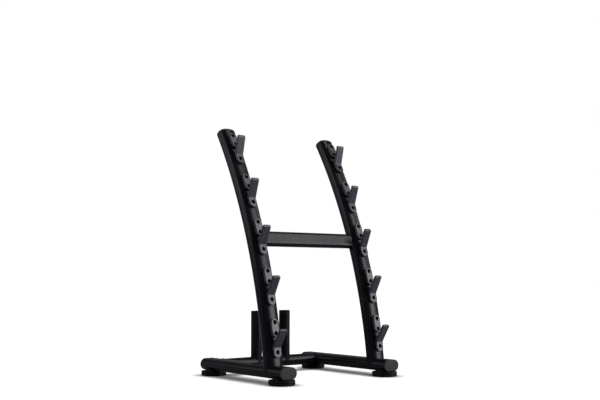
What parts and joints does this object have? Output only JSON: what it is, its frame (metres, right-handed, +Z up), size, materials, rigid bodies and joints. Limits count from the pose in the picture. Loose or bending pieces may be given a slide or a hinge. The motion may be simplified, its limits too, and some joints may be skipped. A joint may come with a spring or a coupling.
{
  "type": "barbell storage rack",
  "caption": "Free-standing steel rack with two curved uprights, bent hooks with wear pads for lying bars, and open rear tubes for bars that stand on end.",
  "frame": {"origin": "on the floor, at the middle of the rack's footprint", "axes": "+Z up, -Y to the front where the hooks are, +X to the right as seen from the front"},
  "size_m": [0.806, 0.719, 1.2947],
  "materials": {
    "black_powder_coat": "satin, very slightly textured powder coat",
    "grey_powder_coat": "matt textured powder coat",
    "grey_plastic": "matt, moulded",
    "cap_plastic": "matt, moulded",
    "black_rubber": "satin, moulded with rings",
    "blackened_steel": "black oxide"
  },
  "bodies": {
    "root": {"base_rail_left": "black_powder_coat", "base_rail_right": "black_powder_coat", "rail_end_cap_front_left": "cap_plastic", "rail_end_cap_front_right": "cap_plastic", "rail_end_cap_rear_left": "cap_plastic", "rail_end_cap_rear_right": "cap_plastic", "foot_front_left": "black_rubber", "foot_front_right": "black_rubber", "foot_rear_left": "black_rubber", "foot_rear_right": "black_rubber", "rear_base_beam": "black_powder_coat", "storage_tube_left": "black_powder_coat", "storage_tube_middle": "black_powder_coat", "storage_tube_right": "black_powder_coat", "upright_left": "black_powder_coat", "upright_right": "black_powder_coat", "upright_top_cap_left": "cap_plastic", "upright_top_cap_right": "cap_plastic", "crossbar": "black_powder_coat", "hook_left_1": "grey_powder_coat", "hook_screw_left_1": "blackened_steel", "wear_pad_left_1": "grey_plastic", "pad_screw_left_1": "blackened_steel", "hook_left_2": "grey_powder_coat", "hook_screw_left_2": "blackened_steel", "wear_pad_left_2": "grey_plastic", "pad_screw_left_2": "blackened_steel", "hook_left_3": "grey_powder_coat", "hook_screw_left_3": "blackened_steel", "wear_pad_left_3": "grey_plastic", "pad_screw_left_3": "blackened_steel", "hook_left_4": "grey_powder_coat", "hook_screw_left_4": "blackened_steel", "wear_pad_left_4": "grey_plastic", "pad_screw_left_4": "blackened_steel", "hook_left_5": "grey_powder_coat", "hook_screw_left_5": "blackened_steel", "wear_pad_left_5": "grey_plastic", "pad_screw_left_5": "blackened_steel", "hook_right_1": "grey_powder_coat", "hook_screw_right_1": "blackened_steel", "wear_pad_right_1": "grey_plastic", "pad_screw_right_1": "blackened_steel", "hook_right_2": "grey_powder_coat", "hook_screw_right_2": "blackened_steel", "wear_pad_right_2": "grey_plastic", "pad_screw_right_2": "blackened_steel", "hook_right_3": "grey_powder_coat", "hook_screw_right_3": "blackened_steel", "wear_pad_right_3": "grey_plastic", "pad_screw_right_3": "blackened_steel", "hook_right_4": "grey_powder_coat", "hook_screw_right_4": "blackened_steel", "wear_pad_right_4": "grey_plastic", "pad_screw_right_4": "blackened_steel", "hook_right_5": "grey_powder_coat", "hook_screw_right_5": "blackened_steel", "wear_pad_right_5": "grey_plastic", "pad_screw_right_5": "blackened_steel"}
  },
  "joints": []
}
